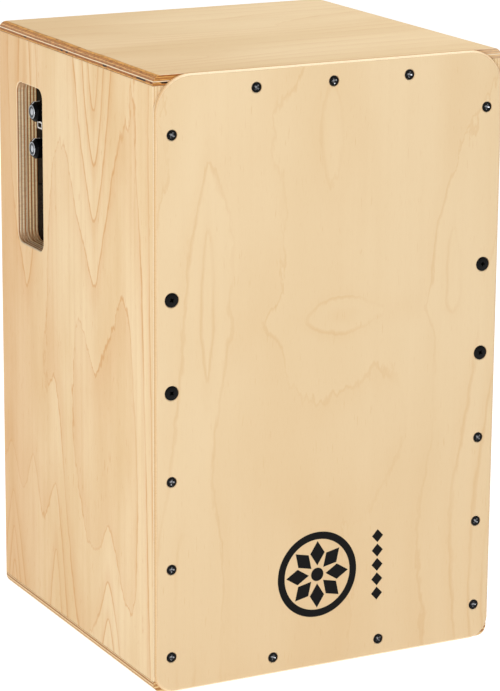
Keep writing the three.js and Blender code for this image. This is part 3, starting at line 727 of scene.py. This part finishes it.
class Shape:
    """A mesh in the making."""

    def __init__(self, plane):
        self.bm = bmesh.new()
        self.plane = plane
        self.made = None

    def corner(self, point):
        return self.bm.verts.new(getattr(Vector(point), self.plane) * MM)

    def walls(self, rings, material=0):
        """Faces between rings of (u, v, w) points. Returns the rings' vertices."""
        made = [[self.corner(point) for point in ring] for ring in rings]
        for lower, upper in zip(made, made[1:]):
            for i in range(len(lower)):
                j = (i + 1) % len(lower)
                self.bm.faces.new((lower[i], lower[j], upper[j], upper[i])).material_index = material
        return made

    def cap(self, rings, material=0):
        """One flat end, with an outer ring of vertices and any number of holes in it."""
        edges = []
        for ring in rings:
            for i in range(len(ring)):
                pair = (ring[i], ring[(i + 1) % len(ring)])
                edges.append(self.bm.edges.get(pair) or self.bm.edges.new(pair))
        filled = bmesh.ops.triangle_fill(self.bm, use_beauty=True, edges=edges)
        for item in filled["geom"]:
            if isinstance(item, bmesh.types.BMFace):
                item.material_index = material

    def solid(self, outer, through=(), blind=()):
        """A closed body from rings that run from back to front. Holes run from front to back."""
        walls = self.walls(outer)
        front, back = [walls[-1]], [walls[0]]
        for hole in through:
            made = self.walls(hole)
            front.append(made[0])
            back.append(made[-1])
        for hole, material in blind:
            made = self.walls(hole, material)
            front.append(made[0])
            self.cap([made[-1]], material)
        self.cap(front)
        self.cap(back)

    def plain(self, rings, material=0, last=None):
        """A closed body without holes, all of one material unless its last end has its own."""
        walls = self.walls(rings, material)
        self.cap([walls[0]], material)
        self.cap([walls[-1]], material if last is None else last)

    def block(self, low, high, soft, material=0):
        """A box in a shape in YZ, with softened edges along X."""
        points = rounded_ring((low[1], low[2]), (high[1], high[2]), (soft,) * 4, 2)
        self.plain([raised(points, high[0]), raised(points, low[0])], material)

    def printed(self, outline, back, front, hole=None):
        """A thin flat figure, which may have a hole in it."""
        holes = [[raised(hole, front), raised(hole, back)]] if hole else ()
        self.solid([raised(outline, back), raised(outline, front)], holes)

    def mesh(self, name):
        """The finished mesh, made when it is first asked for."""
        if self.made:
            return self.made
        bmesh.ops.remove_doubles(self.bm, verts=self.bm.verts, dist=2e-6)
        bmesh.ops.dissolve_degenerate(self.bm, edges=self.bm.edges, dist=1e-6)
        bmesh.ops.recalc_face_normals(self.bm, faces=self.bm.faces)
        self.made = bpy.data.meshes.new(name)
        self.bm.to_mesh(self.made)
        self.bm.free()
        self.made.shade_smooth()
        self.made.set_sharp_from_angle(angle=SHARP_ABOVE)
        return self.made


def add_piece(name, shape, looks, node, weighted=True, place=None):
    """An object for a shape, which rides with a CAD node.

    looks are keys of MATERIALS. place is where a shape goes that was made at 0.
    """
    mesh = shape.mesh(f"{name}_mesh")
    piece = new_object(name, mesh)
    for look in looks:
        if MATERIALS[look].name not in mesh.materials:
            mesh.materials.append(MATERIALS[look])
    if weighted:
        even = piece.modifiers.new("even_normals", "WEIGHTED_NORMAL")
        even.keep_sharp = True
    if place:
        piece.matrix_world = place
    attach(piece, BODY_OF[node])
    return piece


def stand_in(node, shape, looks, weighted=True, place=None):
    """A piece that replaces a CAD node."""
    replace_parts(add_piece(f"{node}_fine", shape, looks, node, weighted, place), node)


def add_board(node, plane, rings, holes=()):
    """A board with its own wood."""
    shape = Shape(plane)
    shape.solid(rings, holes)
    stand_in(node, shape, [node])


def finish_node(node, look, bevel):
    """A CAD node that stays, with a material and softened edges."""
    piece = NODES[node]
    piece.data.materials.clear()
    piece.data.materials.append(MATERIALS[look])
    if bevel:
        soft = piece.modifiers.new("soft_edges", "BEVEL")
        soft.width = bevel * MM
        soft.segments = 3
        soft.limit_method = "ANGLE"
        soft.angle_limit = SHARP_ABOVE
        soft.harden_normals = True


def centre_of(node):
    low, high = box(node)
    return (low + high) / 2


def radius_of(node):
    """The radius of a round node whose axis isn't Z."""
    low, high = box(node)
    return (high.z - low.z) / 2


# ---- the box


def screw_nodes():
    return sorted(node for node in NODES if node.startswith("front_screw_"))


def front_plate():
    """The plate, with rounded edges all round and a countersunk hole for each screw."""
    back = PLATE_HIGH.y
    face = PLATE_LOW.y + INK_ROOM
    low, high = (PLATE_LOW.x, PLATE_LOW.z), (PLATE_HIGH.x, PLATE_HIGH.z)
    corners = (PLATE_BOTTOM_CORNER_R,) * 2 + (PLATE_TOP_CORNER_R,) * 2

    def outline(inset, y):
        inner_low = [c + inset for c in low]
        inner_high = [c - inset for c in high]
        return raised(rounded_ring(inner_low, inner_high, [r - inset for r in corners], 16), y)

    rings = [outline(PLATE_REAR_EDGE, back), outline(0, back - PLATE_REAR_EDGE)]
    wall_end = face + PLATE_EDGE_R
    rings += [outline(inset, wall_end - rise) for rise, inset in round_over(PLATE_EDGE_R)]
    shaft_r = 2.6
    holes = []
    for node in screw_nodes():
        middle, head = centre_of(node), radius_of(node)
        profile = [(head + 1.05, face), (head + 0.45, face + 0.3), (head + 0.35, face + 0.9)]
        profile += [(shaft_r, face + 2.6), (shaft_r, back)]
        holes.append(turned(profile, 28, (middle.x, middle.z)))
    add_board("front_plate", IN_XZ, rings, holes)


def flat_board(node, edge_r, way):
    """The top (way 1) or bottom (way -1) panel: its outer edges are rounded, but not at the front."""
    low, high = box(node)
    outer, inner = (high.z, low.z) if way > 0 else (low.z, high.z)

    def outline(inset, z):
        corner = REAR_CORNER_R - inset
        inner_low, inner_high = (low.x + inset, low.y), (high.x - inset, high.y - inset)
        return raised(rounded_ring(inner_low, inner_high, (0, 0, corner, corner)), z)

    start = outer - way * edge_r
    rings = [outline(inset, start + way * rise) for rise, inset in round_over(edge_r, 12)]
    add_board(node, IN_XY, [outline(0, inner), *rings])


def recess_outline(wider, x):
    """The opening of the recess, made wider or not."""
    low, high = box("recess_frame")
    border = OPENING_BORDER - wider
    corner = OPENING_CORNER_R + wider
    inner_low, inner_high = (low.y + border, low.z + border), (high.y - border, high.z - border)
    return raised(rounded_ring(inner_low, inner_high, (corner,) * 4), x)


def side_panel(node, way):
    """The left (way -1) or right (way 1) panel. Only the outer rear edge is rounded."""
    low, high = box(node)
    outer, inner = (low.x, high.x) if way < 0 else (high.x, low.x)

    def outline(inset, x):
        return raised(square_ring((low.y, low.z), (high.y - inset, high.z)), x)

    start = outer - way * REAR_CORNER_R
    rings = [outline(inset, start + way * rise) for rise, inset in round_over(REAR_CORNER_R)]
    holes = []
    if node == RECESSED:
        edge = reversed(list(round_over(OPENING_SOFT_R, 5)))
        wall = [recess_outline(inset, outer + OPENING_SOFT_R - rise) for rise, inset in edge]
        holes.append([*wall, recess_outline(0, inner)])
    add_board(node, IN_YZ, [outline(0, inner), *rings], holes)


def recess_frame():
    low, high = box("recess_frame")
    outline = rounded_ring((low.y, low.z), (high.y, high.z), (RECESS_FRAME_CORNER_R,) * 4)
    hole = [recess_outline(0, low.x), recess_outline(0, high.x)]
    add_board("recess_frame", IN_YZ, [raised(outline, high.x), raised(outline, low.x)], [hole])


def rear_panel():
    """The thin rear board, with a sound hole whose edges are rounded on both sides."""
    low, high = box("rear_panel")
    outline = square_ring((low.x, low.z), (high.x, high.z))
    outer_edge = reversed(list(round_over(SOUND_HOLE_SOFT_R)))
    inner_edge = round_over(SOUND_HOLE_INNER_SOFT_R, 4)
    outer_start, inner_start = high.y - SOUND_HOLE_SOFT_R, low.y + SOUND_HOLE_INNER_SOFT_R
    profile = [(SOUND_HOLE_R + inset, outer_start + rise) for rise, inset in outer_edge]
    profile += [(SOUND_HOLE_R + inset, inner_start - rise) for rise, inset in inner_edge]
    hole = turned(profile, 96, (0, BOX_BOTTOM + SOUND_HOLE_UP))
    add_board("rear_panel", IN_XZ, [raised(outline, low.y), raised(outline, high.y)], [hole])


# ---- screws


def cross_outline(reach, half_wide, waist):
    """A cross recess seen from the front, with its inner corners at waist."""
    quarter = ((reach, -half_wide), (reach, half_wide), (waist, waist))
    points = []
    for turn in range(4):
        c, s = math.cos(turn * math.pi / 2), math.sin(turn * math.pi / 2)
        points += [(c * u - s * v, s * u + c * v) for u, v in quarter]
    return points


def screw_shape(head, long):
    """A screw about Y with its face at 0. Its materials are the screw's, and one for each kind's recess, of
    which the large kind's is painted shadow.
    """
    edge = 0.25
    if head < LARGE_HEAD_R:
        thread = 1.7
        reach, half_wide, waist, deep = 2.3, 0.5, 0.85, 1.2
        recess_look = 1
        rim = [(head - 0.15, 0.7), (head, 0.45), (head, 0.2), (head - edge, 0), (head - 2 * edge, 0)]
    else:
        thread = 2.2
        reach, half_wide, waist, deep = 2, 0.42, 0.7, 1.3
        # the large screws' cross recess takes the painted shadow
        recess_look = 2
        rim = [(head, 1.3), (head, edge), (head - 0.4 * edge, 0.3 * edge), (head - edge, 0)]
    shaft = [(0.1, long), (thread, long - 3), (thread, 2.4)]
    recess = [
        raised(cross_outline(reach, half_wide, waist), 0),
        raised(cross_outline(reach * 0.5, half_wide * 0.7, waist * 0.5), deep),
    ]
    shape = Shape(IN_XZ)
    shape.solid(turned(shaft + rim, 32), blind=[(recess, recess_look)])
    return shape


def front_screws():
    """The plate's screws, each turned its own way. Screws of one size share a mesh."""
    draws = random.Random(7)
    shapes = {}
    for node in screw_nodes():
        low, high = box(node)
        head, long = radius_of(node), high.y - low.y
        key = (round(head, 1), round(long))
        if key not in shapes:
            shapes[key] = screw_shape(head, long)
        middle = centre_of(node)
        turn = Matrix.Rotation(draws.uniform(0, math.pi / 2), 4, "Y")
        place = Matrix.Translation(Vector((middle.x, low.y, middle.z)) * MM) @ turn
        stand_in(node, shapes[key], ["screw", "recess", "shadow"], weighted=False, place=place)


# ---- knobs


def front_of(node):
    """The place of a turned part's face on its axis, which is X."""
    middle = centre_of(node)
    return Matrix.Translation(Vector((box(node)[0].x, middle.y, middle.z)) * MM)


def knob(control):
    """A turned barrel with a chamfered face and a pocket for its cap."""
    node = f"{control}_knob"
    low, high = box(node)
    radius, long = radius_of(node), high.x - low.x
    face_r, pocket_r = radius - KNOB_CHAMFER, 5.65
    barrel = [(radius - 0.4, long), (radius, long - 0.4), (radius, KNOB_CHAMFER + 0.3)]
    barrel += [(radius - 0.12, KNOB_CHAMFER), (face_r + 0.1, 0.15), (face_r - 0.2, 0)]
    pocket = [(pocket_r, 0), (pocket_r, 0.8)]
    shape = Shape(IN_YZ)
    shape.solid(turned(barrel, 64), blind=[(turned(pocket, 64), 0)])
    stand_in(node, shape, ["knob"], place=front_of(node))


def knob_cap(control):
    """A bright disc with a groove round a low dome; the groove's darker metal is painted shade."""
    node = f"{control}_knob_cap"
    low, high = box(node)
    radius, long = radius_of(node), high.x - low.x
    edge = 0.25
    rim_r, groove_r, dome_r = radius * 0.86, radius * 0.8, radius * 0.5
    # the groove's darker metal is painted shade
    metal, dark = 0, 1
    rim = [(radius, long), (radius, edge + 0.1), (radius - edge, 0.02), (radius - 2 * edge, 0), (rim_r, 0.1)]
    groove = [(rim_r, 0.1), (groove_r, 0.35), (dome_r, 0.35)]
    dome = [(dome_r, 0.35), (radius * 0.35, 0.12), (radius * 0.06, 0.04)]
    shape = Shape(IN_YZ)
    rings = []
    for profile, look in ((rim, metal), (groove, dark), (dome, metal)):
        rings += shape.walls(turned(profile, 64), look)
    shape.cap([rings[0]])
    shape.cap([rings[-1]])
    stand_in(node, shape, ["cap", "groove"], place=front_of(node))


def knob_pointer(control):
    """A white line along the knob's chamfer and barrel, at the top when the knob is at rest."""
    node = f"{control}_knob"
    face = box(node)[0].x
    middle = centre_of(node)
    proud, sunk, half_wide = 0.05, 0.3, 0.4
    shoulder, end = face + KNOB_CHAMFER, face + 7
    wall = middle.z + radius_of(node)
    outline = [(face, wall - KNOB_CHAMFER + proud), (shoulder, wall + proud), (end, wall + proud)]
    outline += [(end, wall - sunk), (shoulder, wall - sunk), (face + sunk, wall - KNOB_CHAMFER - sunk)]
    shape = Shape(IN_XZ)
    shape.printed(outline, middle.y - half_wide, middle.y + half_wide)
    add_piece(f"{control}_knob_pointer", shape, ["print"], node)


# ---- prints


def heading(angle):
    return Vector((math.cos(angle), math.sin(angle)))


def lozenge(centre, reach, half_wide, angle):
    """A lozenge's four corners, reach from its centre along angle and half_wide across it."""
    along, across = heading(angle) * reach, heading(angle).orthogonal() * half_wide
    return [tuple(centre + corner) for corner in (along, across, -along, -across)]


def emblem():
    """A plain rosette with a column of lozenges beside it, printed low on the front plate."""
    centre = Vector((-9, BOX_BOTTOM + 77))
    ring_r, ring_wide, dot_r = 35, 6, 5.5
    petals, petal_from, petal_to, petal_half_wide = 8, 7.5, 27.5, 6.4
    column_low = Vector((45, BOX_BOTTOM + 53))
    column_count, column_step = 5, Vector((0, 12))
    depths = PLATE_LOW.y + INK_ROOM + 0.03, PLATE_LOW.y + 0.02
    shape = Shape(IN_XZ)
    shape.printed(circle(centre, ring_r, 96), *depths, circle(centre, ring_r - ring_wide, 96))
    shape.printed(circle(centre, dot_r, 40), *depths)
    for i in range(petals):
        angle = math.pi / 2 + 2 * math.pi * i / petals
        at = centre + heading(angle) * (petal_from + petal_to) / 2
        shape.printed(lozenge(at, (petal_to - petal_from) / 2, petal_half_wide, angle), *depths)
    for i in range(column_count):
        shape.printed(lozenge(column_low + column_step * i, 5.4, 5, math.pi / 2), *depths)
    add_piece("front_emblem", shape, ["ink"], "front_plate", weighted=False)


def panel_print():
    """Ticks round each knob and a small battery sign, printed on the preamp's panel."""
    face = box("preamp_panel")[0].x
    depths = face + 0.03, face - 0.05
    tick_from, tick_to, half_wide = 10, 11.6, 0.2
    sign = Vector((104.6, BOX_BOTTOM + 401.5))
    half_size, border = Vector((4.6, 3)), 1.2
    terminal_low, terminal_high = Vector((-border, half_size.y)), Vector((border, half_size.y + 0.7))
    shape = Shape(IN_YZ)
    for control in ("volume", "tone"):
        middle = centre_of(f"{control}_knob").yz
        for degrees in range(-150, 151, 30):
            angle = math.radians(90 - degrees)
            across = heading(angle).orthogonal() * half_wide
            start, end = (middle + heading(angle) * r for r in (tick_from, tick_to))
            corners = (start - across, start + across, end + across, end - across)
            shape.printed([tuple(corner) for corner in corners], *depths)
    inner = half_size - Vector((border, border))
    shape.printed(
        rounded_ring(sign - half_size, sign + half_size, (0.6,) * 4, 4),
        *depths,
        rounded_ring(sign - inner, sign + inner, (0.2,) * 4, 4),
    )
    shape.printed(square_ring(sign + terminal_low, sign + terminal_high), *depths)
    add_piece("panel_print", shape, ["print"], "preamp_panel", weighted=False)


# ---- inside the box


def coils(name, routes, radius):
    """Round wires through lists of points, as one curve."""
    curve = bpy.data.curves.new(name, "CURVE")
    curve.dimensions = "3D"
    curve.bevel_depth = radius * MM
    curve.bevel_resolution = 1
    curve.use_fill_caps = True
    for points in routes:
        spline = curve.splines.new("POLY")
        spline.points.add(len(points) - 1)
        for target, point in zip(spline.points, points):
            target.co = (*point * MM, 1)
    curve.materials.append(MATERIALS["snare"])
    piece = new_object(name, curve)
    return piece


def snare_clip(node, low, high, front):
    """A steel clip with two holes, screwed to the snare bar."""
    rim, soft = 0.4, 1.5
    hole_r, hole_aside, hole_up = 1.4, 16, 3.4
    outline = rounded_ring((low.x, low.z), (high.x, high.z), (soft,) * 4, 5)
    face = rounded_ring((low.x + rim, low.z + rim), (high.x - rim, high.z - rim), (soft - rim,) * 4, 5)
    middle = (low.x + high.x) / 2
    holes = []
    for side in (-1, 1):
        at = (middle + side * hole_aside, low.z + hole_up)
        holes.append(turned([(hole_r, front), (hole_r, high.y)], 20, at))
    shape = Shape(IN_XZ)
    shape.solid([raised(outline, high.y), raised(outline, front + rim), raised(face, front)], holes)
    add_piece(f"{node}_clip", shape, ["zinc"], node)


def snare_set(node):
    """Ten coiled wires that lean on the front plate, and the clip that holds them."""
    low, high = box(node)
    strands, pitch = 10, 4
    tall, lean = 126, math.asin(15 / 126)
    coil_r, wire_r, coil_pitch, steps = 0.8, 0.24, 1.7, 8
    clip_high, clip_thick = 14, 1.6
    front = high.y - clip_thick
    middle = (low.x + high.x) / 2
    up = Vector((0, -math.sin(lean), math.cos(lean)))
    out = Vector((0, math.cos(lean), math.sin(lean)))
    aside = Vector((1, 0, 0))
    step_up = up * (coil_pitch / steps)
    routes = []
    for i in range(strands):
        foot = Vector((middle + (i - (strands - 1) / 2) * pitch, front, low.z + clip_high / 2))
        points = []
        for step in range(int(tall / coil_pitch * steps)):
            angle = 2 * math.pi * step / steps
            turn = aside * (coil_r * math.cos(angle)) + out * (coil_r * math.sin(angle))
            points.append(foot + step_up * step + turn)
        routes.append(points)
    piece = coils(f"{node}_coils", routes, wire_r)
    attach(piece, BODY_OF[node])
    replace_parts(piece, node)
    snare_clip(node, low, Vector((high.x, high.y, low.z + clip_high)), front)


def circuit_board():
    """The green board with a chip, a socket and a capacitor on the side away from the knobs."""
    low, high = box("circuit_board")
    middle = centre_of("circuit_board")
    back = low.x + 1.6
    green, black, pin, plain, sleeve = range(5)
    shape = Shape(IN_YZ)
    shape.block(low, (back, high.y, high.z), 1.2, green)

    def part(depths, centre, half_size, soft, material):
        """A block placed from the board's back and its middle."""
        near, far = (back + depth for depth in depths)
        y, z = middle.y + centre[0], middle.z + centre[1]
        wide, tall = half_size
        shape.block((near, y - wide, z - tall), (far, y + wide, z + tall), soft, material)

    part((0.4, 2.8), (0, -6), (3.6, 6), 0.5, black)
    for i in range(6):
        for side in (-1, 1):
            part((-0.1, 1.2), (4.2 * side, 2 * i - 11), (0.8, 0.3), 0.1, pin)
    part((0, 5.8), (-16, 15), (4, 5), 0.5, plain)
    for side in (-1, 0, 1):
        part((5, 6), (-16, 15 + 3 * side), (0.4, 0.4), 0.1, pin)
    can = [(3.9, 0), (4, 0.3), (4, 9.6), (3.7, 10.1), (3.6, 10.4)]
    profile = [(r, back + depth) for r, depth in can]
    shape.plain(turned(profile, 32, (middle.y + 13, middle.z - 14)), sleeve, last=pin)
    looks = ["board", "chip", "zinc", "ceramic", "sleeve"]
    stand_in("circuit_board", shape, looks, weighted=False)


def foot(node):
    """A turned rubber foot with a groove round it and a pocket for its screw."""
    low, high = box(node)
    middle = centre_of(node)
    radius, top = (high.x - low.x) / 2, high.z
    groove_r, edge = radius - 0.4, 1.6
    wall = [(radius - 0.5, top), (radius, top - 0.4)]
    wall += [(radius, 3.9), (groove_r, 3.6), (groove_r, 3.1), (radius, 2.8)]
    wall += [(radius - inset, edge - rise) for rise, inset in round_over(edge, 6)]
    pocket = [(5.2, 0), (4.8, 0.4), (4.7, 3.4)]
    shape = Shape(IN_XY)
    shape.solid(turned(wall, 48, middle.xy), blind=[(turned(pocket, 48, middle.xy), 0)])
    stand_in(node, shape, ["rubber"], weighted=False)


def pickup_disc():
    """A piezo disc: brass with a ceramic face and two solder points."""
    low, high = box("pickup_disc")
    middle = centre_of("pickup_disc")
    radius = (high.x - low.x) / 2
    joint = low.y + (high.y - low.y) * 0.5
    brass, ceramic, solder = range(3)
    shape = Shape(IN_XZ)

    def disc(x, z, r, start, end, material):
        soft = 0.1
        profile = ((r, start), (r, end - soft), (r - soft, end))
        shape.plain(turned(profile, 48, (x, z)), material)

    disc(middle.x, middle.z, radius, low.y, joint, brass)
    disc(middle.x, middle.z, radius * 0.7, joint, high.y - 0.25, ceramic)
    for share in (0.35, 0.84):
        disc(middle.x - radius * share, middle.z + 1, 0.9, joint, high.y, solder)
    looks = ["pickup", "ceramic", "zinc"]
    stand_in("pickup_disc", shape, looks, weighted=False)


def jack_sleeve():
    """The threaded nickel sleeve of the output jack, inside its nut."""
    start = box("output_jack")[0].x
    end = start + 4.2
    middle = centre_of("output_jack")
    inner, root, crest, pitch = 3.2, 4.72, 4.84, 0.5
    profile = [(inner, end), (root, end)]
    for i in range(int((end - start) / pitch), 0, -1):
        profile += [(root, start + pitch * i), (crest, start + pitch * (i - 0.5))]
    profile += [(root, start + 0.1), (root - 0.3, start - 0.05), (inner + 0.2, start - 0.05)]
    profile += [(inner, start + 0.2), (inner, end)]
    shape = Shape(IN_YZ)
    shape.walls(turned(profile, 40, middle.yz))
    add_piece("output_jack_sleeve", shape, ["nickel"], "output_jack")


def drawer_ribs():
    """Grip ribs beside the battery drawer's finger lip."""
    low, high = box("battery_drawer")
    face = low.x + 1.6
    count, pitch, half_high = 7, 3, 0.5
    shape = Shape(IN_YZ)
    for i in range(count):
        z = (low.z + high.z) / 2 + (i - (count - 1) / 2) * pitch
        rib_low = (face - 0.5, low.y + 10, z - half_high)
        rib_high = (face + 0.2, high.y - 3, z + half_high)
        shape.block(rib_low, rib_high, 0.3)
    add_piece("battery_drawer_ribs", shape, ["moulding"], "battery_drawer")


# ---- what stays as CAD

STAYING = (
    # how the nodes' names start, the key of their look, and how far their edges are softened
    (("front_batten_", "snare_bar"), "batten", 0.6),
    (("foot_screw_", "panel_screw_"), "zinc", 0.15),
    (("volume_pot", "tone_pot"), "zinc", 0.2),
    (("preamp_panel", "output_jack", "battery_drawer"), "moulding", 0.3),
    (("jack_nut",), "nickel", 0.2),
    (("volume_shaft", "tone_shaft"), "nickel", 0.1),
    (("battery",), "battery", 0.3),
    (("pickup_lead",), "lead", 0),
)


def carried_over():
    """The first row of STAYING that fits a node gives its finish."""
    for node in NODES:
        for starts, look, bevel in STAYING:
            if node.startswith(starts):
                finish_node(node, look, bevel)
                break


add_camera()
add_studio()
carried_over()
front_plate()
flat_board("top_panel", TOP_EDGE_R, 1)
flat_board("bottom_panel", BOTTOM_EDGE_R, -1)
side_panel("left_side_panel", -1)
side_panel("right_side_panel", 1)
recess_frame()
rear_panel()
front_screws()
emblem()
for control in ("volume", "tone"):
    knob(control)
    knob_cap(control)
    knob_pointer(control)
panel_print()
jack_sleeve()
drawer_ribs()
circuit_board()
for number in range(1, 5):
    foot(f"foot_{number}")
snare_set("snare_wires_left")
snare_set("snare_wires_right")
pickup_disc()
